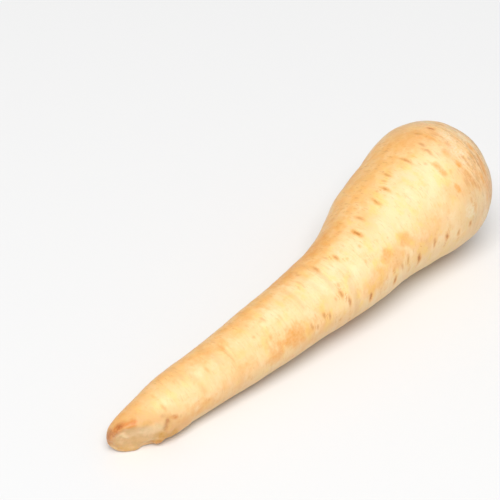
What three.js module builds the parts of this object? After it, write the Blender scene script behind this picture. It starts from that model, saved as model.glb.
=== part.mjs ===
// A parsley root, lifted, washed and topped, lying on its side as it rests on a table.
//
// It grew as one piece, so it is one solid. The long axis runs along X: the tail, whose end was broken off in
// lifting, points to -X, and the crown, where the leaves were cut away, points to +X. +Z is up, in millimetres.
// The origin is on the table, under the middle of the root.
import * as THREE from "three";

// ---------------------------------------------------------------- driving dimensions
const LENGTH = 170; // from the tail's end to the rim of the crown

// The outline in growing order, from the tail's end to the rim of the crown: [distance along, radius].
const OUTLINE = [
  [0, 0], [0.6, 3.2], [2.6, 6.1], [6.5, 7.3], // blunt end of the tail
  [14, 8], [26, 9], [42, 10], [58, 11], [74, 12], [88, 13], // long, slow taper
  [100, 14.5], [112, 16.7], [124, 18.9], [135, 20.7], [146, 22.7], // neck, swelling into the shoulder
  [154, 22.9], [160, 20.8], [164.4, 16.6], [168, 12.5], // shoulder, rounding over to the crown
  [169.6, 9.8], [169.1, 8.4], [167.8, 7.5], // rim left round the cut leaves
];
const BED_RINGS = 19; // the flat bed of the leaf stalks inside the rim, ring by ring to its middle

// Sideways bow of the root's middle, at equal steps from the tail's end to the crown.
const BOW = [0.9, 0, -3.9, -6.9, -9.3, -6.9, -7.1, -6.6];

const SIDES = 60; // facets round the root
const STEPS = 3; // rings from one point of the outline to the next

// It lies on its tail and on its shoulder; between them the neck arches clear of the table.
const TAIL_REST = { along: 12, radius: 7.9 };
const SHOULDER_REST = { along: 148, radius: 23 };
const SETTLE = 0.7; // how far the two resting places are flattened

// The slanting break at the tail's end: a flat that faces the tip, the near side and a little down.
const BREAK_AT = new THREE.Vector3(5.2, 0.2, 7.6); // along, sideways, above the table
const BREAK_NORMAL = new THREE.Vector3(-0.59, -0.77, -0.24).normalize();
const BREAK_EDGE = 0.35; // how softly the skin rolls into the break

// Leaf stalks cut off level: two whorls of flat-topped crescents round the bud, parted by grooves.
const STALK_HEIGHT = 1.4;
const WHORLS = [
  { radius: 5.5, thickness: 2.7, stalks: 6, turn: 0.3 },
  { radius: 2.6, thickness: 2, stalks: 3, turn: 1.1 },
];
const BUD = { radius: 1, height: 0.9 };

// ---------------------------------------------------------------- growth
const bow = new THREE.SplineCurve(BOW.map((side, i) => new THREE.Vector2(i, side)));

// Height of the middle line over the table: straight, through the two resting places.
function middleHeight(along) {
  const share = (along - TAIL_REST.along) / (SHOULDER_REST.along - TAIL_REST.along);
  return THREE.MathUtils.lerp(TAIL_REST.radius, SHOULDER_REST.radius, share) - SETTLE;
}

// The root is not quite round: it leans to two and to three sides, with slow swellings along its length.
function unevenness(along, turn) {
  const twoSides = 0.014 * Math.cos(2 * turn - 0.6 + 0.021 * along);
  const threeSides = 0.01 * Math.cos(3 * turn + 1.4 - 0.034 * along);
  const swellings = 0.006 * Math.sin(0.31 * along + 0.8 * Math.cos(turn)) + 0.005 * Math.sin(0.57 * along + 1.9);
  return 1 + twoSides + threeSides + swellings;
}

// Height of the cut stalks over their bed, at a distance from the crown's middle and a turn round it.
function stalkHeight(radius, turn) {
  const { smoothstep } = THREE.MathUtils;
  let height = BUD.height * (1 - smoothstep(radius, BUD.radius * 0.3, BUD.radius * 1.3));
  for (const whorl of WHORLS) {
    const phase = (turn - whorl.turn) * whorl.stalks / 2;
    const wall = 1 - smoothstep(Math.abs(radius - whorl.radius), whorl.thickness * 0.2, whorl.thickness * 0.62);
    const parted = smoothstep(Math.abs(Math.sin(phase)) * whorl.radius, 0.2, 1.7);
    height = Math.max(height, STALK_HEIGHT * wall * parted);
  }
  return height;
}

// ---------------------------------------------------------------- shaping
// Brings whatever reached past the break back to it, and rolls the skin softly over its edge.
function breakOff(point) {
  const beyond = point.clone().sub(BREAK_AT).dot(BREAK_NORMAL);
  const kept = -BREAK_EDGE * Math.log1p(Math.exp(-beyond / BREAK_EDGE));
  if (beyond > -8 * BREAK_EDGE) point.addScaledVector(BREAK_NORMAL, kept - beyond);
}

// Moves a point of the straight, round lathed root to where it grew.
function place(along, radius, turn) {
  const girth = radius * unevenness(along, turn);
  const side = bow.getPoint(THREE.MathUtils.clamp(along / LENGTH, 0, 1)).y;
  return new THREE.Vector3(along, side + girth * Math.sin(turn), middleHeight(along) + girth * Math.cos(turn));
}

function grow() {
  const outline = new THREE.SplineCurve(OUTLINE.map(([along, radius]) => new THREE.Vector2(radius, along)));
  const rings = outline.getPoints(STEPS * (OUTLINE.length - 1));
  const bedEdge = rings.length - 1;
  const [bedAlong, bedRadius] = OUTLINE.at(-1);
  for (let k = 1; k <= BED_RINGS; k++) rings.push(new THREE.Vector2(bedRadius * (1 - k / BED_RINGS), bedAlong));
  const skin = new THREE.LatheGeometry(rings, SIDES);
  const position = skin.getAttribute("position");
  for (let i = 0; i < position.count; i++) {
    const radius = Math.hypot(position.getX(i), position.getZ(i));
    const turn = Math.atan2(position.getZ(i), position.getX(i));
    const point = place(position.getY(i), radius, turn);
    if (i % rings.length > bedEdge) point.x += stalkHeight(radius, turn);
    breakOff(point);
    point.z = Math.max(point.z, 0);
    position.setXYZ(i, point.x, point.y, point.z);
  }
  skin.deleteAttribute("normal");
  skin.deleteAttribute("uv");
  return skin;
}

// Puts the origin on the table, under the middle of the root's box.
function centred(skin) {
  skin.computeBoundingBox();
  const { min, max } = skin.boundingBox;
  return skin.translate(-(min.x + max.x) / 2, -(min.y + max.y) / 2, -min.z);
}

const root = new THREE.Mesh(
  centred(grow()),
  new THREE.MeshStandardMaterial({ color: 0xf2d9a6, roughness: 0.55, metalness: 0 }),
);
root.name = "root";

const part = new THREE.Group();
part.add(root);
export default part;
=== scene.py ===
import math
import random

import bmesh
import bpy
import numpy as np
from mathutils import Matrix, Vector, noise
from mathutils.bvhtree import BVHTree


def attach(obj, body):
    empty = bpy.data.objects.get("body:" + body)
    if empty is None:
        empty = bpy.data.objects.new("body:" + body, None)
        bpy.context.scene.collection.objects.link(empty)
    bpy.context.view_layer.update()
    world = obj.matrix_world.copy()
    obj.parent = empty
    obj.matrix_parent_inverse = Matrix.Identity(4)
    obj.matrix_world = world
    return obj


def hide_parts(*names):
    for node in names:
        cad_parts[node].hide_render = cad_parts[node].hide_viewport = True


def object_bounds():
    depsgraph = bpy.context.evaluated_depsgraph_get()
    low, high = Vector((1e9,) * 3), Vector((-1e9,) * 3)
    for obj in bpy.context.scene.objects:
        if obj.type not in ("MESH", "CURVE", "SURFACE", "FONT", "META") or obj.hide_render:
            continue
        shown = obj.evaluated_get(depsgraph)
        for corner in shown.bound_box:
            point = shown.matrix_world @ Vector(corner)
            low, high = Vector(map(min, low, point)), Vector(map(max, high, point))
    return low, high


# A washed, topped parsley root on a pale table. Lengths on the root are in millimetres until they reach
# Blender. Turns round it are in degrees: 0 is on top, the near side is negative and the far side positive.
MM = 0.001

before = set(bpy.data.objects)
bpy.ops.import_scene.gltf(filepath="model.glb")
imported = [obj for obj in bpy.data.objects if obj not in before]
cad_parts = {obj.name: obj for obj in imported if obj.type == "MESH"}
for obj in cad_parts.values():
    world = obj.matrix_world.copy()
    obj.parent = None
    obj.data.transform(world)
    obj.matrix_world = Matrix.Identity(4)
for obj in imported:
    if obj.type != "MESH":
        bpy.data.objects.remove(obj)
cad_low, cad_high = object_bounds()
root_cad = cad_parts["root"]

# ------------------------------------------------------------------ the root's own measures
TAIL_END = cad_low.x / MM
LENGTH = (cad_high.x - cad_low.x) / MM
BED_INSET = 1.1
CROWN_BED = LENGTH - BED_INSET  # distance from the tail's end to the bed that the leaf stalks stand on
BED_RADIUS = 7.6
BREAK_FACING = np.array((-0.59, -0.77, -0.24))
BREAK_FACING /= math.hypot(*BREAK_FACING)
BREAK_FLATNESS = 0.3  # points no deeper than this behind the break's foremost one are on its flat face

# The outline in rough, as (distance from the tail's end, radius): the body up to its widest place, the
# crown up to the crest of its rim, and the bed of the leaf stalks up to its middle.
BODY_OUTLINE = [
    (0, 0), (0.6, 3.2), (2.6, 6.1), (6.5, 7.3), (14, 8), (42, 10), (88, 13), (100, 14.5), (124, 18.9),
    (146, 22.7), (154, 22.9),
]
CROWN_OUTLINE = [(160, 20.8), (164.4, 16.6), (167.8, 12.5), (168.8, 9.6)]
BED_OUTLINE = [(168.5, 8.4), (167.8, BED_RADIUS), (167.8, 0)]
ROUGH_OUTLINE = np.array(BODY_OUTLINE + CROWN_OUTLINE + BED_OUTLINE)
WALKED = np.concatenate([[0], np.cumsum(np.hypot(*np.diff(ROUGH_OUTLINE, axis=0).T))])
WIDEST = len(BODY_OUTLINE) - 1
CREST = WIDEST + len(CROWN_OUTLINE)
SHOULDER = WALKED[WIDEST]  # distance over the skin to the widest place
RIM = WALKED[CREST]  # and to the crest of the rim round the leaf stalks
RIM_RADIUS = ROUGH_OUTLINE[CREST, 1]
CROWN_TURN = (156, 163)  # between these the skin turns from the body's side to the crown's top

# The net of rings that becomes the skin.
RING_SPACING = 0.36
BED_RING_SPACING = 0.2
SIDES = 176
SAME_PLACE = 0.001  # points closer than this are merged
BED_MARGIN = 3  # width outside the rim over which the bed's own rings pass into the body's
BREAK_REACH = 17  # how far from the tail's end the edge of the break is softened
EDGE_SMOOTHING = 22  # and how many times

# ------------------------------------------------------------------ where its marks are
# Scars of the side rootlets stand in four rows, a quarter turn apart. Two rows are given mark by mark:
# (distance from the tail's end, turn, length round the root, strength, redness).
TOP_ROW = [
    (157, 2, 3, 0.4, 0.8), (152.4, 4, 4, 0.9, 1), (148.1, 10, 4.5, 0.7, 0.3), (144.3, -1, 3.5, 0.6, 0.9),
    (142.8, -10, 5.5, 0.6, 1), (136.4, 1, 7, 0.7, 0.6), (128.2, 5, 4.5, 0.7, 0.3), (122.8, -4, 5, 0.9, 0.1),
    (117.4, -5, 5, 0.8, 0), (109.1, 0, 5, 0.7, 0.4), (103.9, -9, 5, 1.15, 0.1), (100.7, -22, 1.5, 0.4, 0),
    (92.5, -9, 3.5, 0.8, 0.3), (85, -2, 4, 0.7, 0.6),
]
SIDE_ROW = [
    (143.6, -90, 3, 0.8, 0.6), (138.5, -92, 3.5, 0.7, 0.6), (133, -87, 4, 1, 0.7), (127.2, -84, 4, 0.8, 0.6),
    (120.4, -91, 5.5, 1.2, 0.7), (114.8, -80, 4.5, 0.7, 0.5), (111.8, -83, 3.5, 0.5, 0.6),
    (108, -93, 4, 1, 0.7), (96.5, -90, 4, 1.1, 0.7), (87.5, -73, 4.5, 0.8, 0.6), (85.5, -55, 4, 0.8, 0.6),
    (79, -76, 3.5, 0.7, 0.6), (77, -69, 3, 0.7, 0.6), (74, -80, 2.5, 0.6, 0.5), (72, -74, 3.5, 0.6, 0.5),
]
# The crown's clearest scratches are laid out like the scars.
CROWN_SCRATCHES = [
    (146.5, -47, 4, 0.4, 0.5), (146, -54, 4, 0.45, 0.6), (148.7, -58, 4.5, 0.5, 0.6),
    (151, -55, 5, 0.4, 0.5), (155.4, -58, 5, 0.5, 0.7), (144.8, -69, 3, 0.45, 0.7),
    (144.1, -3, 2.5, 0.5, 1), (148.4, -6, 4, 0.35, 0.5), (147.6, -49, 5, 0.55, 0.4),
    (149.6, -63, 5, 0.5, 0.6), (152.2, -48, 4, 0.4, 0.8), (157, -46, 6, 0.6, 0.6),
    (150.4, -36, 4, 0.5, 0.6), (153.6, -40, 5, 0.5, 0.4), (146.4, -76, 3, 0.4, 0.6),
    (154.6, -22, 5, 0.4, 0.5), (150, -44, 3, 0.55, 0.7), (147.8, -57, 4, 0.5, 0.5),
    (145.2, -53, 4, 0.4, 0.6), (142.8, -37, 2, 0.3, 0.1),
]
# The other two rows are scattered, and so are the faint marks between the rows.
HIDDEN_ROWS = [88, 174]
HIDDEN_ROW_START, HIDDEN_ROW_END = 22.0, 152
FAINT_SCARS = 110
FAINT_CROWN_SCRATCHES = 90
SCAR_DEPTH = 0.09
SCAR_HALF_WIDTH = 0.42
NO_SCAR = 9.0  # the place of a point that is in no scar, in half widths

# Tan patches on the skin: (distance from the tail's end, turn, length along, width round, strength). Spots
# on the crown come first, then broad patches on the shoulder, patches on the neck and on the taper, and those
# of the far side and the underside. Two of the broad patches on the shoulder, both at 143 from the tail's
# end,
# are painted shade: one on the upper side and one low on the near side.
TAN_AND_SHADE_PATCHES = [
    (140.6, -27, 2, 4.4, 1), (140.2, -33, 2.2, 4, 1), (146.2, -22, 1.8, 4.4, 0.7), (156.8, -33, 1.8, 4, 0.9),
    (146.8, -38, 1.7, 3, 1.3), (141.4, -52, 1.9, 3.6, 1.3), (156, -52, 2.6, 4.6, 1.3),
    (152.8, -60, 2, 5, 1.2), (148.4, -2, 1.8, 6, 0.7), (149.8, -18, 1.6, 4, 0.6),
    # painted shade: the first two patches on the next line darken the shoulder, on the upper side and low on
    # the near side
    (143, -48, 12, 12, 0.3), (143, 12, 14, 12, 0.5), (125, -64, 18, 12, 0.3), (154, -68, 6, 13, 0.55),
    (148, 2, 8, 13, 0.35),
    (115.9, -56, 5, 5, 0.8), (106.9, -55, 5, 5, 0.8), (109, -72, 7, 6, 0.6), (100.5, -74, 13, 8, 0.5),
    (102, -14, 24, 14, 0.14),
    (64, -70, 15, 8, 0.95), (57, -82, 8, 6, 0.8), (75, -97, 34, 8, 0.3), (45, -69, 12, 6, 0.4),
    (58, -46, 12, 6, 0.25), (45, -60, 56, 13, 0.16), (39, -2, 20, 6, 0.6), (54, 12, 20, 7, 0.4),
    (62, -68, 20, 16, 0.24), (74, -46, 14, 12, 0.18), (69, 0, 14, 11, 0.25), (24, -96, 16, 6, 0.7),
    (90, 32, 34, 10, 0.7), (60, 150, 30, 12, 0.8), (120, 130, 26, 18, 0.7), (92, -160, 22, 14, 0.6),
    (135, 75, 20, 16, 0.6), (150, 178, 12, 20, 0.6),
]
# Patches of thin greyish film, most of them on the crown, laid out like the tan ones.
FILM_PATCHES = [
    (150.1, -28, 4, 9, 0.9), (149.5, -42, 3, 6, 0.7), (152, -76, 4, 7, 0.5), (152.5, -95, 5, 9, 0.8),
    (152.5, -14, 3, 8, 0.8), (158, -20, 4, 12, 0.8), (121.5, -76, 6, 7, 0.25), (133, -17, 7, 8, 0.25),
    (143.5, -78, 4, 6, 0.7), (160, -64, 3, 8, 0.5), (158, 30, 6, 12, 0.7), (162, 100, 6, 12, 0.7),
    (156, 165, 8, 14, 0.8), (163, -150, 5, 12, 0.8),
]

# Strokes of colour on and round the broken tail, from one place to another, then their width and strength. A
# place is measured from the middle of the break: to the right over it, up over it, and back from it.
BROWN_STROKES = [
    ((-5.9, 5.8, 1.2), (-5, 6.2, 1.2), 2.6, 1), ((-7.6, 3, 0.5), (-6.4, 4.9, 0.3), 2.6, 0.7),
    # partly painted shade: the first stroke on the next line runs along the tail's far left edge, a brown
    # stain darkened further as shade
    ((-8.8, -2.5, 1.2), (-8.4, 2.8, 1.6), 3.6, 0.8), ((9.9, 4.3, 1.4), (9, 1.8, 0.3), 2.2, 0.7),
    ((11.9, 4.2, 3), (12.2, 3.9, 3), 1.4, 0.25), ((8.2, 5.8, 2.6), (8.8, 5.7, 2.6), 1.5, 0.3),
    ((4, -5, 0), (7.5, -4.2, 0.2), 2.2, 0.4),
]
RUST_STROKES = [
    ((-4.4, 6.7, 1.2), (-1.4, 7.1, 1), 3.4, 1), ((-6.4, 4.6, 1), (-4.4, 6.2, 1), 3.2, 0.8),
    ((11.2, 4.8, 2.4), (12.6, 3.6, 3), 1.8, 0.8), ((-8.4, -2, 1), (-7.6, 3, 1), 3, 0.5),
]
OCHRE_STROKES = [
    ((7.4, -1.2, 0.1), (11.5, -2.2, 1.2), 5, 1.2), ((5.4, -3.8, 0), (8.6, -3, 0.3), 3.2, 1),
    ((-6, -4.4, 0.2), (-0.5, -6, 0.2), 2.4, 0.6), ((10.4, 4.6, 1.7), (9.2, 1.6, 0.4), 4, 0.4),
    ((-2.4, 5.8, 0.4), (3.4, 6.2, 0.6), 2.8, 0.4), ((-7.6, -1.4, 0.3), (-5.4, -4.2, 0.1), 3.4, 0.55),
    ((-3, -0.8, 0), (2, -2.6, 0), 4.6, 0.35),
]
# painted highlights: the pale strokes on the next line lighten the break's ridge and the upper right of its
# face
BREAK_HIGHLIGHT_STROKES = [((-4.8, 3.6, 0), (-3.4, 1.4, 0), 1.8, 0.6), ((2, 3.2, 0), (7, 3.4, 0.2), 4.4, 0.45)]
# The low forms of the break are strokes too, with a height: bulges, hollows, a ridge, a notch and a lip.
BREAK_FORMS = [
    ((-3.4, -5.6, 0), (-1, -6.1, 0), 4.4, 0.5), ((2.4, -5.6, 0), (3.8, -5.4, 0), 4.6, -0.9),
    ((6, -5, 0.1), (7.6, -4.6, 0.2), 2.6, 0.6), ((-8.4, -1.8, 0.5), (-7, -4, 0), 3, -0.8),
    ((-5, 3.4, 0), (-3.4, 0.8, 0), 1.8, 0.18), ((10.2, 4.9, 1.9), (9.2, 2, 0.4), 2, -0.3),
    ((9.8, 0.4, 0.3), (8.2, -2.6, 0.2), 3.4, 0.4), ((11, -3.2, 1.2), (17, -3.6, 4.2), 4, 0.4),
]

# Broad swells and hollows of the body: (distance from the tail's end, turn, half length, height).
BODY_FORMS = [
    (122, -107, 8, -0.3), (85, -105, 9, -0.5), (47, -107, 8, -0.35), (20, -109, 5, 0.3), (107, 54, 8, -0.6),
    (118, 54, 5, 0.4), (75, 33, 8, -0.3), (41, 38, 9, -0.4), (158, -7, 6, 0.3), (158, -38, 6, -0.35),
    (152, -85, 5, 0.25), (147, -98, 5, -0.3),
]
SWELL_HALF_TURN = 30

# Wrinkles, placed by distance over the skin: where they begin, where they are closer together, and where they
# are only half as deep.
FIRST_WRINKLE = 8.0
CROWDED_NECK = (78, 118)
CROWDED_CROWN = (SHOULDER - 4, WALKED[-1] - BED_RADIUS)
SHALLOW_BODY = (96, SHOULDER)

# Leaf stalks cut off short. They stand in a spiral, each one a golden turn on from the last and further out.
STALKS = 10
GOLDEN_TURN = math.radians(137.5)
FIRST_STALK = 2.1  # how far the innermost stalk is from the bud
LAST_STALK = 5.9
STALK_HEIGHT = 1.4
STALK_SQUARENESS = 2.3  # a cut end is a little squarer than an ellipse, which would be 2
BUD_RADIUS = 1.2
BUD_HEIGHT = 0.6 * STALK_HEIGHT
BUD_GREENNESS = 0.9
# The crown falls away a little round the stalks: how far from the middle, over what width, and by how much.
CREST_RADIUS, CREST_WIDTH, CREST_CUT = 11.2, 2.8, 0.75


def side_scars():
    """Every rootlet scar and scratch: those given above, the two scattered rows and the faint ones."""
    rng = random.Random(7)
    scars = TOP_ROW + SIDE_ROW + CROWN_SCRATCHES
    for row_turn in HIDDEN_ROWS:
        along = HIDDEN_ROW_START
        while along < HIDDEN_ROW_END:
            along += rng.uniform(4, 11)
            turn = row_turn + rng.gauss(0, 7)
            scars.append((along, turn, rng.uniform(2.5, 5), rng.uniform(0.4, 1.1), rng.random()))
    for _ in range(FAINT_SCARS):
        place = rng.uniform(16, 158), rng.uniform(-180, 180)
        scars.append((*place, rng.uniform(1, 3.5), rng.uniform(0.15, 0.45), rng.random()))
    for _ in range(FAINT_CROWN_SCRATCHES):
        place = rng.triangular(145, 167, 160), rng.uniform(-180, 180)
        scars.append((*place, rng.uniform(2, 6), rng.uniform(0.1, 0.35), rng.random()))
    return scars


# ------------------------------------------------------------------ the net of the skin
def smoothstep(low, high, value):
    """0 at low and 1 at high, eased in between, whichever of the two is greater."""
    share = np.clip((value - low) / (high - low), 0, 1)
    return share * share * (3 - 2 * share)


def hump(distance, reach):
    """1 where the distance is 0, and hardly anything beyond twice the reach."""
    return np.exp(-((distance / reach) ** 2))


def coordinates(mesh):
    """A mesh's points, in the mesh's own unit."""
    points = np.empty(len(mesh.vertices) * 3)
    mesh.vertices.foreach_get("co", points)
    return points.reshape(-1, 3)


def rounded_cad():
    """The CAD solid's loose triangles, merged into squares and rounded, as a form to lay the skin on."""
    solid = bmesh.new()
    solid.from_mesh(root_cad.data)
    bmesh.ops.remove_doubles(solid, verts=solid.verts, dist=SAME_PLACE * MM)
    half_turn = math.radians(180)
    bmesh.ops.join_triangles(
        solid, faces=solid.faces, angle_face_threshold=half_turn, angle_shape_threshold=half_turn
    )
    mesh = bpy.data.meshes.new("form")
    solid.to_mesh(mesh)
    solid.free()
    holder = bpy.data.objects.new("form", mesh)
    bpy.context.collection.objects.link(holder)
    rounding = holder.modifiers.new("rounding", "SUBSURF")
    rounding.levels = rounding.render_levels = 2
    rounded = bpy.data.meshes.new_from_object(holder.evaluated_get(bpy.context.evaluated_depsgraph_get()))
    bpy.data.objects.remove(holder)
    return rounded


class MiddleLine:
    """The bowed line through the middle of the root, used to straighten it and to bow it again."""

    START = 18  # past the break
    END = LENGTH - 3.4  # short of the rim round the leaf stalks
    SPACING = 2.0

    def __init__(self, points):
        along = points[:, 0] - TAIL_END
        self.stations = np.arange(self.START, self.END, self.SPACING)
        rings = [points[np.abs(along - station) < self.SPACING / 2][:, 1:] for station in self.stations]
        self.middles = np.array([(ring.min(axis=0) + ring.max(axis=0)) / 2 for ring in rings])

    def offset(self, along):
        """Sideways and upward place of the middle, carried on straight before its first station."""
        first, fifth = self.middles[0], self.middles[4]
        slope = (fifth - first) / (self.stations[4] - self.stations[0])
        before = np.minimum(along - self.stations[0], 0)
        middles = [np.interp(along, self.stations, self.middles[:, k]) + before * slope[k] for k in (0, 1)]
        return np.stack([np.zeros_like(along), *middles], axis=1)

    def straighten(self, points):
        """Takes the bow out, and puts the tail's end at 0."""
        moved = points - np.array([TAIL_END, 0, 0])
        return moved - self.offset(moved[:, 0])

    def bow(self, straight):
        """Puts the bow back, and the tail's end where it was."""
        return straight + self.offset(straight[:, 0]) + np.array([TAIL_END, 0, 0])


def lathed_net():
    """An even net of rings round the straightened root, close to its outline."""
    net = bmesh.new()
    steps = [*np.arange(0, RIM, RING_SPACING), *np.arange(RIM, WALKED[-1], BED_RING_SPACING), WALKED[-1]]
    chain = []
    for step in steps:
        along, radius = (np.interp(step, WALKED, ROUGH_OUTLINE[:, k]) for k in (0, 1))
        chain.append(net.verts.new((along, 0, radius)))
    edges = [net.edges.new(pair) for pair in zip(chain, chain[1:])]
    full_turn = math.radians(360)
    bmesh.ops.spin(
        net, geom=chain + edges, cent=(0, 0, 0), axis=(1, 0, 0), angle=full_turn, steps=SIDES, use_merge=True
    )
    bmesh.ops.remove_doubles(net, verts=net.verts, dist=SAME_PLACE)
    bmesh.ops.recalc_face_normals(net, faces=net.faces)
    put_in_order(net)
    return net


def put_in_order(net):
    """Sorts the net's edges and faces by their points and builds it anew, because a spin leaves them in
    another order on each run."""
    net.verts.index_update()
    count = len(net.verts)

    def by_points(part):
        first, second, third = (sorted(vert.index for vert in part.verts) + [0])[:3]
        return (first * count + second) * count + third

    net.edges.sort(key=by_points)
    net.faces.sort(key=by_points)
    ordered = bpy.data.meshes.new("ordered")
    net.to_mesh(ordered)
    net.clear()
    net.from_mesh(ordered)
    bpy.data.meshes.remove(ordered)


def lay_on(net, form):
    """Brings the net to the nearest places on the form, but for the bed of the leaf stalks, which keeps its
    own rings, and softens the edge of the break."""
    surface = BVHTree.FromPolygons(
        [tuple(vertex.co) for vertex in form.vertices], [tuple(face.vertices) for face in form.polygons]
    )
    for vert in net.verts:
        radius = math.hypot(vert.co.y, vert.co.z)
        in_bed = smoothstep(RIM_RADIUS + BED_MARGIN, RIM_RADIUS, radius) if vert.co.x > LENGTH / 2 else 0
        vert.co = surface.find_nearest(vert.co)[0].lerp(vert.co, float(in_bed))
    tail = [vert for vert in net.verts if vert.co.x < BREAK_REACH]
    for _ in range(EDGE_SMOOTHING):
        bmesh.ops.smooth_vert(net, verts=tail, factor=0.5, use_axis_x=True, use_axis_y=True, use_axis_z=True)


def straight_skin(form, middle_line):
    """The skin as a mesh in millimetres, laid on the straightened form, with its tail's end at 0."""
    form.vertices.foreach_set("co", middle_line.straighten(coordinates(form) / MM).ravel())
    net = lathed_net()
    lay_on(net, form)
    mesh = bpy.data.meshes.new("root_body")
    net.to_mesh(mesh)
    net.free()
    return mesh


# ------------------------------------------------------------------ places on the skin
SEED_STRIDE = 17.3  # how far apart the stretches of noise are that two seeds in a row read


def noise_field(points, scale, seed):
    """Smooth noise over a cloud of points, about -1 to 1. The scale is in waves per millimetre, along the
    root and across it."""
    stretched = points * np.array([scale[0], scale[1], scale[1]]) + seed * SEED_STRIDE
    return np.array([noise.noise(Vector(point)) for point in stretched])


class Skin:
    """Where each point of the skin is, by the straightened root's own measures and by the break's."""

    def __init__(self, straight, points):
        self.straight = straight
        self.along = straight[:, 0]
        self.radius = np.hypot(straight[:, 1], straight[:, 2])
        self.turn = np.degrees(np.arctan2(straight[:, 1], straight[:, 2]))
        self.walked = self.over_the_skin()
        self.mottle = noise_field(straight, (0.14, 0.2), 4)
        self.fray = noise_field(straight, (0.6, 0.4), 20) + 0.5 * noise_field(straight, (1.3, 0.9), 21)
        self.ragged = 0.3 * noise_field(straight, (0.35, 0.35), 11)
        self.measure_break(points)

    def over_the_skin(self):
        """Distance from the tail's end over the skin: along the body, then inwards over the crown."""
        past_widest = WIDEST + 2
        on_body = np.interp(self.along, ROUGH_OUTLINE[:past_widest, 0], WALKED[:past_widest])
        on_crown = np.interp(-self.radius, -ROUGH_OUTLINE[WIDEST:, 1], WALKED[WIDEST:])
        share = smoothstep(*CROWN_TURN, self.along)
        return on_body * (1 - share) + on_crown * share

    def measure_break(self, points):
        """Finds how deep each point is behind the break, its place from the break's middle, and how far the
        break reaches sideways and up."""
        across = np.cross((0, 0, 1), BREAK_FACING)
        across /= np.linalg.norm(across)
        places = points @ np.stack([across, np.cross(BREAK_FACING, across), BREAK_FACING], axis=1)
        self.depth = places[:, 2].max() - places[:, 2]
        flat = places[self.depth < BREAK_FLATNESS][:, :2]
        right, up = (flat.min(axis=0) + flat.max(axis=0)) / 2
        self.break_place = np.stack([places[:, 0] - right, places[:, 1] - up, self.depth], axis=1)
        self.break_size = (flat.max(axis=0) - flat.min(axis=0)) / 2

    def turned_from(self, turn):
        """How many degrees round the root each point is from a turn, on whichever side."""
        return np.abs((self.turn - turn + 180) % 360 - 180)

    def round_root(self, mark_turn):
        """How far each point is round the root from a mark's middle, and how far out on that side."""
        angle = math.radians(mark_turn)
        _, side, up = self.straight.T
        return side * math.cos(angle) - up * math.sin(angle), side * math.sin(angle) + up * math.cos(angle)

    def in_stroke(self, start, end, width):
        """Distance from a stroke near the break: 0 along its middle and 1 at its edge."""
        start = np.array(start)
        stroke = np.array(end) - start
        share = np.clip((self.break_place - start) @ stroke / (stroke @ stroke), 0, 1)
        return np.linalg.norm(self.break_place - start - share[:, None] * stroke, axis=1) / (width / 2)


# ------------------------------------------------------------------ relief of the skin
def swells(skin):
    """The broad swells and hollows that keep the body from being evenly round."""
    height = np.zeros_like(skin.along)
    for along, turn, half_length, swell in BODY_FORMS:
        around = hump(skin.turned_from(turn), SWELL_HALF_TURN)
        height += swell * hump(skin.along - along, half_length) * around
    return height


def lumps(skin):
    """All that is uneven on the body and crown, and how far the crown falls away round the leaf stalks."""
    on_crown = smoothstep(SHOULDER, SHOULDER + 10, skin.walked)
    rise = noise_field(skin.straight, (0.12, 0.12), 16)
    crest = on_crown * hump(skin.radius - CREST_RADIUS, CREST_WIDTH)
    wide = noise_field(skin.straight, (0.07, 0.09), 1)
    small = noise_field(skin.straight, (0.35, 0.25), 2)
    falls = CREST_CUT * crest * (1 + 0.3 * rise)
    return swells(skin) + 0.28 * on_crown * rise - falls + 0.22 * wide + 0.05 * small


def wrinkle_spacing(place):
    """How far apart wrinkles are at a distance over the skin, as a share of the usual."""
    if place > CROWDED_CROWN[0]:
        return 0.4
    return 0.75 if CROWDED_NECK[0] < place < CROWDED_NECK[1] else 1


def wrinkles(skin):
    """Creases and soft folds that run part of the way round, closest together at the neck and the crown."""
    rng = random.Random(21)
    sway = 1.6 * noise_field(skin.straight, (0.05, 0.09), 3)
    relief = np.zeros_like(skin.along)
    place = FIRST_WRINKLE
    while place < CROWDED_CROWN[1]:
        spacing = wrinkle_spacing(place)
        place += rng.uniform(0.8, 3.4) * spacing
        reach = rng.uniform(25, 130) / spacing
        soft = rng.random() < 0.3
        depth = rng.uniform(0.03, 0.08) if soft else rng.uniform(0.01, 0.06)
        depth *= 0.5 if SHALLOW_BODY[0] < place < SHALLOW_BODY[1] else 1
        width = rng.uniform(0.8, 1.5) if soft else rng.uniform(0.25, 0.5)
        fade = 1 - smoothstep(0.5 * reach, reach, skin.turned_from(rng.uniform(-180, 180)))
        relief -= depth * fade * hump(skin.walked - place - sway, width)
    return relief


def nearest_scar(skin):
    """Each point's place in its nearest rootlet scar, in half widths and half lengths, with that scar's
    strength and redness. The place's third number keeps points that are in no scar far from all of them."""
    nearest = np.full(len(skin.along), NO_SCAR)
    bend = 0.45 * noise_field(skin.straight, (0.2, 0.45), 6)
    place = np.zeros_like(skin.straight)
    strength = np.zeros_like(skin.along)
    redness = np.zeros_like(skin.along)
    for along, turn, length, scar_strength, scar_redness in side_scars():
        round_root, outward = skin.round_root(turn)
        across = (skin.along - along + bend) / (SCAR_HALF_WIDTH * (1 + scar_strength))
        lengthwise = round_root / (length / 2)
        distance = np.hypot(across, lengthwise)
        closer = (outward > 0) & (distance < nearest)
        nearest[closer] = distance[closer]
        place[closer, 0] = across[closer]
        place[closer, 1] = lengthwise[closer]
        strength[closer] = scar_strength
        redness[closer] = scar_redness
    place[:, 2] = NO_SCAR * smoothstep(2.2, 2.8, nearest)
    return place, strength, redness


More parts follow.
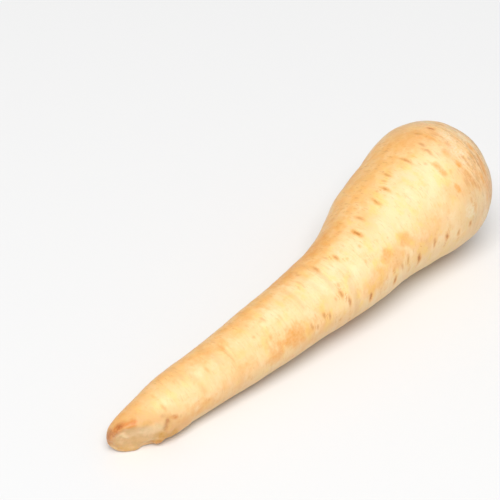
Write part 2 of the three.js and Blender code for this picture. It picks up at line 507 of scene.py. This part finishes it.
def scar_relief(place, strength):
    """A slit in the middle of each scar, and a low lip round it."""
    in_scar = np.linalg.norm(place, axis=1)
    slit = hump(in_scar, 0.8)
    lip = hump(in_scar - 1.4, 0.4)
    return SCAR_DEPTH * strength * (0.2 * lip - slit)


def healed_relief(skin):
    """The healed face of the break, gently uneven and lower inside its rim."""
    from_middle = np.linalg.norm(skin.break_place[:, :2] / skin.break_size, axis=1)
    uneven = noise_field(skin.straight, (0.25, 0.25), 5)
    return 0.14 * uneven - 0.12 * (1 - smoothstep(0.2, 0.95, from_middle))


def break_relief(skin):
    """How far the low forms of the break stand out from it."""
    waver = 0.25 * noise_field(skin.straight, (0.3, 0.3), 12)
    height = np.zeros_like(skin.along)
    for *stroke, form_height in BREAK_FORMS:
        height += form_height * (1 - smoothstep(0, 1.4, skin.in_stroke(*stroke) + waver))
    return height


def cut_stalk(k, side, up, rng):
    """For one stalk, how far each point is inside its cut end, how high that stands there, and how green
    the stalk is."""
    place = FIRST_STALK + (LAST_STALK - FIRST_STALK) * (k / (STALKS - 1)) ** 0.8
    angle = k * GOLDEN_TURN + rng.uniform(-0.15, 0.15)
    out = side * math.cos(angle) + up * math.sin(angle) - place
    aside = up * math.cos(angle) - side * math.sin(angle)
    curl = out + 0.5 * aside**2 / place  # the cut end curls round the ones inside it
    half_out = 1.1 + 0.06 * place + rng.uniform(-0.15, 0.15)
    half_aside = 1.35 + 0.36 * place
    reach = np.abs(np.stack([curl / half_out, aside / half_aside])) ** STALK_SQUARENESS
    inside = 1 - reach.sum(axis=0) ** (1 / STALK_SQUARENESS)
    tilt = rng.uniform(-0.08, 0.08) * out + rng.uniform(-0.06, 0.06) * aside
    height = STALK_HEIGHT * rng.uniform(0.6, 1) + tilt
    return inside, height, rng.random()


def cut_stalks(skin):
    """How high the cut leaf stalks stand over their bed, how far each point is inside its own stalk's cut
    end, how green that stalk is, and how much of the bed there is at each point."""
    rng = random.Random(5)
    side = skin.straight[:, 1] + 0.25 * noise_field(skin.straight, (0.3, 0.35), 9)
    up = skin.straight[:, 2] + 0.25 * noise_field(skin.straight, (0.3, 0.35), 10)
    bud = 1 - np.hypot(side, up) / BUD_RADIUS, np.full_like(side, BUD_HEIGHT), BUD_GREENNESS
    stalks = [bud] + [cut_stalk(k, side, up, rng) for k in range(STALKS)]
    insides, heights, greenness = (np.array(values) for values in zip(*stalks))
    own = insides.argmax(axis=0)
    ranked = np.sort(insides, axis=0)
    inside = np.clip(np.minimum(ranked[-1], ranked[-1] - ranked[-2]), -1, 1)
    stands = np.take_along_axis(heights, own[None], axis=0)[0]
    height = stands * (1 - 0.22 * smoothstep(0.3, 0.8, inside)) * smoothstep(0, 0.3, inside)
    bed = (1 - smoothstep(BED_RADIUS - 1.2, BED_RADIUS + 0.4, skin.radius)) * (skin.along > LENGTH / 2)
    return height, inside, greenness[own], bed


# ------------------------------------------------------------------ where the skin's colours lie, from 0 to 1
def patchy(skin, patches):
    """How strong a set of patches is, with ragged edges."""
    amount = np.zeros_like(skin.along)
    for along, turn, length, width, strength in patches:
        round_root, outward = skin.round_root(turn)
        distance = np.hypot((skin.along - along) / (length / 2), round_root / (width / 2))
        spread = 1 - smoothstep(0.2, 1.6, distance + 0.6 * skin.mottle + 0.6 * skin.fray)
        amount = np.maximum(amount, strength * spread * (outward > 0))
    return amount


def tan_and_painted_shade(skin):
    """How tan the skin is, in its patches and at the tail's end; two patches on the shoulder are painted
    shade.
    """
    tail = 0.5 * (1 - smoothstep(6, 16, skin.along + 3 * skin.mottle))
    return np.clip(np.maximum(patchy(skin, TAN_AND_SHADE_PATCHES), tail), 0, 1)


def scuffed_crown(skin):
    """How scuffed the crown is: most on the near side, and in patches elsewhere."""
    here_and_there = 0.35 + 0.3 * noise_field(skin.straight, (0.06, 0.06), 18)
    near = hump(skin.turn + 40 + 10 * skin.mottle, 60)
    inner = 1 - 0.5 * smoothstep(RIM - 9, RIM - 2, skin.walked + 3 * skin.mottle)
    on_crown = smoothstep(SHOULDER - 15, SHOULDER + 6, skin.walked + 6 * skin.mottle)
    return on_crown * np.maximum(near, here_and_there) * inner


def upper_tan_and_shade(skin):
    """How far the upper side is tan and darker: tan skin and painted shade together, fading out before the
    crown.
    """
    shifted = skin.turn + 14 * skin.mottle
    share = smoothstep(-14, 26, shifted) * (1 - smoothstep(80, 125, shifted))
    here_and_there = noise_field(skin.straight, (0.035, 0.05), 19)
    share *= 1 - 0.7 * smoothstep(42, 70, shifted) * smoothstep(-0.25, 0.35, here_and_there)
    return share * (1 - smoothstep(148, 160, skin.along))


def painted_highlight_band(skin):
    """A painted highlight: how pale a band of skin is made on the near side from the neck to the shoulder,
    where the lamp's highlight falls.
    """
    near = hump(skin.turn + 28 + 6 * skin.mottle, 26)
    return near * smoothstep(46, 76, skin.along) * (1 - smoothstep(140, 152, skin.along))


def painted_shade_below(skin):
    """Painted shade: how much darker and greyer the skin is made underneath and low on the near shoulder."""
    underneath = 0.6 * smoothstep(60, 130, np.abs(skin.turn) + 8 * skin.mottle)
    low_shoulder = 0.8 * hump(skin.along - 148, 13) * hump(skin.turn + 76 + 8 * skin.mottle, 27)
    return np.clip(np.maximum(underneath, low_shoulder), 0, 1)


def painted(skin, strokes, waver_seed):
    """How strongly strokes near the break colour the skin, with ragged edges."""
    waver = 0.35 * noise_field(skin.straight, (0.5, 0.5), waver_seed)
    colour = np.zeros_like(skin.along)
    for *stroke, strength in strokes:
        colour = np.maximum(colour, strength * (1 - smoothstep(0.2, 1.3, skin.in_stroke(*stroke) + waver)))
    return colour


def keep_layers(mesh, layers):
    """Keeps numbers and places on the mesh, for its finish to read."""
    for name, values in layers.items():
        is_place = values.ndim == 2
        layer = mesh.attributes.new(name, "FLOAT_VECTOR" if is_place else "FLOAT", "POINT")
        layer.data.foreach_set("vector" if is_place else "value", values.astype(np.float32).ravel())


def grow_skin():
    """The finished mesh of the root, which also carries what its colours are laid out by."""
    form = rounded_cad()
    middle_line = MiddleLine(coordinates(form) / MM)
    mesh = straight_skin(form, middle_line)
    bpy.data.meshes.remove(form)

    straight = coordinates(mesh)
    outward = np.array([vertex.normal for vertex in mesh.vertices])
    points = middle_line.bow(straight)
    skin = Skin(straight, points)
    crease = wrinkles(skin)
    scar_place, scar_strength, scar_redness = nearest_scar(skin)
    stalk_height, in_stalk, stalk_greenness, bed = cut_stalks(skin)

    grown = crease + scar_relief(scar_place, scar_strength) + lumps(skin)
    broken = 1 - smoothstep(0.12, 0.65, skin.depth + skin.ragged)
    relief = grown * (1 - broken) + healed_relief(skin) * broken
    relief *= smoothstep(0, 1.2, points[:, 2])  # it has none where it rests on the table
    points += outward * (relief * (1 - bed))[:, None] + BREAK_FACING * break_relief(skin)[:, None]
    points[:, 0] += bed * (TAIL_END + CROWN_BED + stalk_height - points[:, 0])
    points[:, 2] = np.maximum(points[:, 2], 0)
    mesh.vertices.foreach_set("co", (points * MM).ravel())
    mesh.polygons.foreach_set("use_smooth", [True] * len(mesh.polygons))

    layers = {
        "straight": straight,
        "walked": skin.walked,
        "crease": crease,
        "healed": 1 - smoothstep(0.1, 1.3, skin.depth + 1.6 * skin.ragged),
        "by_break": 1 - smoothstep(1.5, 6, skin.depth + 0.9 * skin.mottle),
        "brown": painted(skin, BROWN_STROKES, 8),
        "rust": painted(skin, RUST_STROKES, 13),
        "ochre": painted(skin, OCHRE_STROKES, 14),
        "break_highlight": painted(skin, BREAK_HIGHLIGHT_STROKES, 15),
        "scar_place": scar_place,
        "scar_strength": scar_strength,
        "scar_redness": scar_redness,
        "tan_and_shade": tan_and_painted_shade(skin),
        "film": patchy(skin, FILM_PATCHES),
        "scuffed": scuffed_crown(skin),
        "tan_and_shade_above": upper_tan_and_shade(skin),
        "painted_highlight": painted_highlight_band(skin),
        "shade_below": painted_shade_below(skin),
        "in_stalk": in_stalk,
        "stalk_greenness": stalk_greenness,
        "bed": bed,
    }
    keep_layers(mesh, layers)
    mesh.update()
    return mesh


# ------------------------------------------------------------------ shader arithmetic
class Number:
    """A shader value. Arithmetic on it adds the Math nodes that work it out."""

    def __init__(self, finish, socket):
        self.finish = finish
        self.socket = socket

    def _with(self, operation, *others, reflected=False):
        values = [*others, self] if reflected else [self, *others]
        node = self.finish.node("Math", {"operation": operation}, dict(enumerate(values)))
        return Number(self.finish, node.outputs[0])

    def __add__(self, other):
        return self._with("ADD", other)

    def __sub__(self, other):
        return self._with("SUBTRACT", other)

    def __rsub__(self, other):
        return self._with("SUBTRACT", other, reflected=True)

    def __mul__(self, other):
        return self._with("MULTIPLY", other)

    __radd__ = __add__
    __rmul__ = __mul__

    def least(self, other):
        return self._with("MINIMUM", other)

    def most(self, other):
        return self._with("MAXIMUM", other)


class Finish:
    """One material, built node by node."""

    def __init__(self, name):
        self.material = bpy.data.materials.new(name)
        self.material.use_nodes = True
        self.tree = self.material.node_tree
        self.tree.nodes.clear()

    def node(self, kind, settings, inputs):
        """Adds a node: its settings first, then the values or links of its sockets."""
        node = self.tree.nodes.new("ShaderNode" + kind)
        for setting, value in settings.items():
            setattr(node, setting, value)
        for name, value in inputs.items():
            if isinstance(value, Number):
                value = value.socket
            if isinstance(value, bpy.types.NodeSocket):
                self.tree.links.new(value, node.inputs[name])
            else:
                node.inputs[name].default_value = value
        return node

    def step(self, value, low, high):
        """0 below low and 1 above high, eased in between."""
        inputs = {"Value": value, "From Min": low, "From Max": high}
        node = self.node("MapRange", {"interpolation_type": "SMOOTHSTEP", "clamp": True}, inputs)
        return Number(self, node.outputs["Result"])

    def blend(self, share, first, second):
        """Mixes two colours."""
        node = self.node("Mix", {"data_type": "RGBA"}, {0: share, 6: first, 7: second})
        return node.outputs[2]

    def shaded(self, settings, inputs):
        """Adds the shader, and hands over the finished material."""
        shader = self.node("BsdfPrincipled", settings, inputs)
        self.node("OutputMaterial", {}, {"Surface": shader.outputs[0]})
        return self.material


class SkinFinish(Finish):
    """The skin's material, with the noises that its colours, gloss and grain share."""

    def __init__(self):
        super().__init__("washed_skin")
        self.where = self.place("straight")
        self.walked = self.layer("walked")
        self.mottle = self.noise((0.9, 1, 1), 0.3, 4, 0.6)
        self.blotch = self.noise((1.2, 0.8, 0.8), 0.22, 5)
        self.streaks = self.noise((1, 0.18, 0.18), 1.0, 3, 0.6)
        self.rings = self.noise((1, 0.07, 0.07), 1.5, 3, 0.6)
        self.fibres = self.noise((1, 1, 1), 1.3, 3, 0.6)
        self.ragged = self.step(0.5 * self.mottle + 0.5 * self.fibres, 0.38, 0.62)

    def layer(self, name):
        """A number kept on the mesh."""
        return Number(self, self.node("Attribute", {"attribute_name": name}, {}).outputs["Fac"])

    def place(self, name):
        """A place kept on the mesh, in millimetres or in a scar's own half widths and half lengths."""
        return self.node("Attribute", {"attribute_name": name}, {}).outputs["Vector"]

    def length(self, vector):
        return Number(self, self.node("VectorMath", {"operation": "LENGTH"}, {0: vector}).outputs["Value"])

    def noise(self, stretch, scale, detail, roughness=0.5):
        """Smooth noise from 0 to 1 over the straightened root. It has scale waves per millimetre, times the
        stretch along the root and across it."""
        stretched = self.node("Mapping", {"vector_type": "POINT"}, {"Vector": self.where, "Scale": stretch})
        inputs = {"Vector": stretched.outputs[0], "Scale": scale, "Detail": detail, "Roughness": roughness}
        return Number(self, self.node("TexNoise", {"noise_dimensions": "3D"}, inputs).outputs["Fac"])


# ------------------------------------------------------------------ the skin's finish
def srgb(red, green, blue):
    """A colour as the eye names it, 0 to 255, for a shader's linear socket."""
    channels = [value / 255 for value in (red, green, blue)]
    return tuple([c / 12.92 if c <= 0.04045 else ((c + 0.055) / 1.055) ** 2.4 for c in channels] + [1.0])


CREAM = srgb(243, 194, 132)
PALE_SKIN_AND_HIGHLIGHT = srgb(248, 213, 158)
WHITE_SKIN_AND_HIGHLIGHT = srgb(250, 225, 180)
STRAW = srgb(247, 208, 108)
TAN = srgb(241, 183, 106)
SHADE_BELOW = srgb(216, 184, 135)
THREAD = srgb(220, 178, 116)
DASH = srgb(208, 146, 82)
FOLD = srgb(208, 158, 98)
FRECKLE = srgb(198, 150, 96)
CROWN_TONE = srgb(232, 194, 144)
CROWN_SHADE_BELOW = srgb(220, 198, 162)
CROWN_WHITE = srgb(244, 222, 190)
CROWN_SPECK = srgb(182, 130, 86)
CROWN_THREAD = srgb(176, 142, 98)
COLLAR = srgb(206, 158, 106)
FILM = srgb(236, 218, 184)
ORANGE = srgb(230, 152, 50)
SCAR_OCHRE = srgb(210, 142, 46)
SCAR_RED = srgb(194, 118, 58)
SCAR_DARK = srgb(172, 106, 52)
CALLUS = srgb(214, 172, 114)
CALLUS_PALE = srgb(231, 190, 137)
BREAK_TAN = srgb(222, 170, 108)
OCHRE = srgb(204, 148, 56)
RUST = srgb(210, 126, 36)
BROWN = srgb(172, 96, 40)
STALK = srgb(228, 198, 144)
STALK_GREEN = srgb(214, 190, 134)
STALK_EDGE = srgb(192, 142, 84)
STALK_GROOVE = srgb(180, 132, 80)


def body_skin(f):
    """Cream skin with pale and strawy blotches, a painted highlight band on the near side, tan skin and
    painted shade above, and painted shade below.
    """
    cloud = f.noise((0.7, 1, 1), 0.07, 3)
    swollen = f.step(f.walked, 50, 95) * (1 - f.step(f.walked, SHOULDER - 20, SHOULDER + 4))
    # partly a painted highlight: the pale band on the near side lifts the skin towards pale here
    colour = f.blend(f.step(cloud + 0.1 * swollen + 0.22 * f.layer("painted_highlight"), 0.38, 0.66), CREAM, PALE_SKIN_AND_HIGHLIGHT)
    colour = f.blend(f.step(f.blotch, 0.5, 0.68) * (0.4 + 0.2 * swollen), colour, WHITE_SKIN_AND_HIGHLIGHT)
    colour = f.blend((1 - f.step(f.blotch, 0.3, 0.5)) * (0.3 + 0.36 * swollen), colour, STRAW)
    # painted highlight: a pale band on the near side, where the lamp's highlight falls
    colour = f.blend(f.layer("painted_highlight") * 0.3, colour, WHITE_SKIN_AND_HIGHLIGHT)
    colour = f.blend(f.step(f.mottle + 0.4 * f.streaks, 0.72, 0.98) * 0.3, colour, TAN)
    # tan skin and painted shade: the upper side made darker and more orange
    colour = f.blend(f.layer("tan_and_shade_above") * (0.55 + 0.45 * f.step(f.mottle, 0.35, 0.65)), colour, TAN)
    # painted shade: darker and greyer underneath and low on the near shoulder
    return f.blend(f.layer("shade_below"), colour, SHADE_BELOW)


def fine_marks(f, colour):
    """Thread-fine rings, dashes, darker folds and freckles."""
    wide_rings = f.noise((1, 0.1, 0.1), 0.4, 2)
    thread = f.step(f.rings, 0.58, 0.78) * f.step(wide_rings, 0.4, 0.62)
    colour = f.blend(thread * 0.4, colour, THREAD)
    dashes = f.noise((1, 0.2, 0.2), 2.2, 2)
    colour = f.blend(f.step(dashes, 0.6, 0.7) * (0.2 + 0.35 * f.layer("tan_and_shade_above")), colour, DASH)
    colour = f.blend(f.step(f.layer("crease") * -1, 0.01, 0.09) * 0.3, colour, FOLD)
    return f.blend(f.step(f.streaks + 0.6 * f.fibres, 0.92, 1.12) * 0.3, colour, FRECKLE)


def crown_skin(f, colour):
    """The crown's greyer tone, painted shade low on it, its scuffs, specks and rings, and the darker collar
    round the leaf stalks.
    """
    crown = f.step(f.walked + 12 * (f.mottle - 0.5), SHOULDER - 15, SHOULDER + 6)
    collar = f.step(f.walked + 6 * (f.mottle - 0.5), RIM - 8, RIM - 1)
    flecks = f.noise((1, 0.34, 0.34), 1.9, 4, 0.65)
    scuffs = f.step(f.streaks + 0.3 * (f.blotch - 0.5), 0.54, 0.7)
    speckled = f.step(flecks + 0.4 * (f.blotch - 0.5), 0.52, 0.68).most(scuffs)
    crown_rings = f.noise((1, 0.13, 0.13), 1.9, 3, 0.6)
    colour = f.blend(crown * 0.65, colour, CROWN_TONE)
    # painted shade: the crown made greyer and darker underneath and low on the near side
    colour = f.blend(crown * f.layer("shade_below") * 0.8, colour, CROWN_SHADE_BELOW)
    colour = f.blend(f.layer("scuffed") * (1 - f.step(flecks, 0.32, 0.48)) * 0.6, colour, CROWN_WHITE)
    colour = f.blend(f.layer("scuffed") * speckled * 0.75, colour, CROWN_SPECK)
    colour = f.blend(crown * f.step(crown_rings, 0.54, 0.68) * 0.34, colour, CROWN_THREAD)
    return f.blend(collar * (0.2 + 0.35 * f.ragged), colour, COLLAR)


def patches(f, colour):
    """Thin greyish film, and tan patches with two of painted shade among them, both frayed."""
    film = f.layer("film") * (0.3 + 0.6 * f.step(f.fibres, 0.4, 0.6))
    colour = f.blend(film.least(1), colour, FILM)
    # the tan patches include two of painted shade on the shoulder
    return f.blend((f.layer("tan_and_shade") * (0.54 + 0.3 * f.ragged)).least(0.95), colour, ORANGE)


def rootlet_scars(f, colour):
    """Ochre to red-brown scars, darkest in the middle of the strong ones, each in a tan halo. It gives back
    the colour, and how scarred the skin is for the gloss and the grain."""
    distance = f.length(f.place("scar_place"))
    strength = f.layer("scar_strength")
    frayed = distance + 1.1 * (f.fibres - 0.5)
    halo = (1 - f.step(distance, 0.6, 1.9)) * strength
    colour = f.blend((halo * 0.45).least(1), colour, TAN)
    scar = (1 - f.step(frayed, 0.1, 1.25)) * strength
    scar_colour = f.blend(f.layer("scar_redness"), SCAR_OCHRE, SCAR_RED)
    colour = f.blend((scar * 0.85).least(0.92), colour, scar_colour)
    core = (1 - f.step(frayed, 0.05, 0.55)) * ((strength - 0.6) * 0.8).most(0)
    return f.blend(core, colour, SCAR_DARK), scar


def healed_break(f, colour):
    """Mottled callus over the break, tan skin near it, painted highlights on it, and its ochre, rusty and
    brown stains. The brown along the tail's far left edge is partly painted shade.
    """
    callus = f.blend(f.step(f.mottle + 0.3 * f.streaks, 0.5, 0.8), CALLUS, CALLUS_PALE)
    colour = f.blend(f.layer("by_break") * 0.7, colour, BREAK_TAN)
    colour = f.blend(f.layer("healed"), colour, callus)
    # painted highlights: pale strokes on the break's ridge and the upper right of its face
    colour = f.blend(f.layer("break_highlight") * 0.7, colour, WHITE_SKIN_AND_HIGHLIGHT)
    colour = f.blend(f.layer("ochre") * (0.5 + 0.4 * f.ragged), colour, OCHRE)
    colour = f.blend(f.layer("rust") * (0.6 + 0.4 * f.ragged), colour, RUST)
    # the brown is partly painted shade along the tail's far left edge
    return f.blend((f.layer("brown") * (0.4 + 0.6 * f.ragged)).least(1), colour, BROWN)


def leaf_stalks(f, colour):
    """Pale cut ends with darker veins and edges, some of them greener, and the grooves between them."""
    in_stalk = f.layer("in_stalk")
    pith = f.blend(f.layer("stalk_greenness"), STALK, STALK_GREEN)
    veins = f.node("TexVoronoi", {"feature": "F1"}, {"Vector": f.where, "Scale": 1.1, "Randomness": 0.7})
    vein = 1 - f.step(Number(f, veins.outputs["Distance"]), 0.12, 0.24)
    pith = f.blend(vein * f.step(in_stalk, 0.35, 0.5) * 0.5, pith, STALK_EDGE)
    cut_end = f.blend(f.step(in_stalk + 0.3 * (f.fibres - 0.5), 0.16, 0.5), STALK_EDGE, pith)
    bed = f.blend(f.step(in_stalk, 0, 0.18), STALK_GROOVE, cut_end)
    return f.blend(f.layer("bed") * (0.7 + 0.3 * f.step(f.fibres, 0.35, 0.65)), colour, bed)


def skin_finish():
    """The whole skin, from the cream body to the cut leaf stalks, softly glossy and a little translucent."""
    f = SkinFinish()
    colour = fine_marks(f, body_skin(f))
    colour = patches(f, crown_skin(f, colour))
    colour, scar = rootlet_scars(f, colour)
    colour = leaf_stalks(f, healed_break(f, colour))
    grain = 0.3 * f.rings + 0.3 * f.streaks + 0.5 * f.fibres - 0.2 * scar
    bump = f.node("Bump", {}, {"Strength": 0.4, "Distance": 0.25 * MM, "Height": grain})
    inputs = {
        "Base Color": colour,
        "Roughness": 0.45 + 0.14 * (f.mottle - 0.5) + 0.1 * scar.least(1),
        "Specular IOR Level": 0.7,
        "Normal": bump.outputs[0],
        "Subsurface Weight": 0.3,
        "Subsurface Radius": (1.0, 0.45, 0.2),
        "Subsurface Scale": 3.5 * MM,
        "IOR": 1.42,
    }
    return f.shaded({"subsurface_method": "RANDOM_WALK"}, inputs)


# ------------------------------------------------------------------ the table, light and camera
# Places and lengths are in metres from here on, and the camera's lens is in millimetres.
TABLE_WHITE = srgb(232, 232, 232)
TABLE_HALF_WIDTH = 3
SURROUNDING_LIGHT = 0.43
KEY_PLACE = (-1.15, -0.87, 2.63)
KEY_TARGET = (0, 0, 0.02)
KEY_SIZE = 2.1
KEY_POWER = 86  # watts
VIEW_TURN, VIEW_RISE = math.radians(-50.5), math.radians(38.3)
VIEW_AIM = (0.0076, 0.031, 0.015)
VIEW_DISTANCE = 0.642
LENS = 137.35


def table_top():
    slab = bmesh.new()
    bmesh.ops.create_grid(slab, x_segments=1, y_segments=1, size=TABLE_HALF_WIDTH)
    mesh = bpy.data.meshes.new("table")
    slab.to_mesh(mesh)
    slab.free()
    table = bpy.data.objects.new("table", mesh)
    bpy.context.collection.objects.link(table)
    inputs = {"Base Color": TABLE_WHITE, "Roughness": 0.7}
    mesh.materials.append(Finish("table_white").shaded({}, inputs))


def studio():
    """Even light from all round, and one wide, soft lamp."""
    world = bpy.data.worlds.new("studio")
    world.use_nodes = True
    background = world.node_tree.nodes["Background"]
    background.inputs["Color"].default_value = (1, 1, 1, 1)
    background.inputs["Strength"].default_value = SURROUNDING_LIGHT
    bpy.context.scene.world = world
    bpy.context.scene.view_settings.view_transform = "Standard"
    lamp = bpy.data.lights.new("key", "AREA")
    lamp.shape = "DISK"
    lamp.size = KEY_SIZE
    lamp.energy = KEY_POWER
    key = bpy.data.objects.new("key", lamp)
    key.location = KEY_PLACE
    key.rotation_euler = (Vector(KEY_TARGET) - Vector(KEY_PLACE)).to_track_quat("-Z", "Y").to_euler()
    bpy.context.collection.objects.link(key)


def camera():
    level = math.cos(VIEW_RISE)
    back = Vector((math.sin(VIEW_TURN) * level, -math.cos(VIEW_TURN) * level, math.sin(VIEW_RISE)))
    lens = bpy.data.cameras.new("camera")
    lens.lens = LENS
    viewer = bpy.data.objects.new("camera", lens)
    viewer.location = Vector(VIEW_AIM) + back * VIEW_DISTANCE
    viewer.rotation_euler = (-back).to_track_quat("-Z", "Y").to_euler()
    bpy.context.collection.objects.link(viewer)
    bpy.context.scene.camera = viewer


mesh = grow_skin()
mesh.materials.append(skin_finish())
root = bpy.data.objects.new("root_body", mesh)
bpy.context.collection.objects.link(root)
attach(root, "root")
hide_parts("root")

table_top()
studio()
camera()
